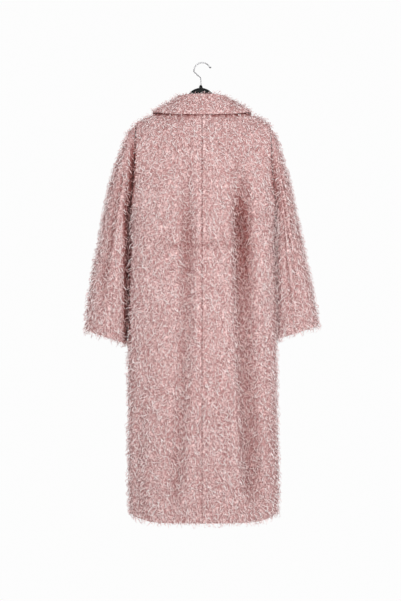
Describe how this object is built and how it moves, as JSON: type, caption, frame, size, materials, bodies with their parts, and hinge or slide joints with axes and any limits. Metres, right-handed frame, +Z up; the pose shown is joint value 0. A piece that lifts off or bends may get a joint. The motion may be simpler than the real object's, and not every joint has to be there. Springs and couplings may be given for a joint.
{
  "type": "long fur coat on a hanger",
  "caption": "Long shaggy pink fur coat with a turned-down collar, buttoned, hanging from a plain black hanger with a wire hook.",
  "frame": {"origin": "the inner top of the hanger's hook, where it bears on a rail", "axes": "+Z up, -Y towards the coat's back, +Y towards its fronts, +X towards the wearer's right"},
  "size_m": [0.6716, 0.168, 1.304],
  "materials": {
    "fur": "matte shaggy dusty-pink pile with pale glossy strands",
    "button": "dusty-pink polished",
    "hanger": "black, satin",
    "hook": "bright polished wire"
  },
  "bodies": {
    "root": {"back_left": "fur", "back_right": "fur", "front_left": "fur", "front_right": "fur", "sleeve_left_top": "fur", "sleeve_left_under": "fur", "sleeve_right_top": "fur", "sleeve_right_under": "fur", "collar": "fur", "button_1": "button", "button_2": "button", "button_3": "button", "button_4": "button", "hanger": "hanger", "hook_ferrule": "hanger", "hook": "hook"}
  },
  "joints": []
}
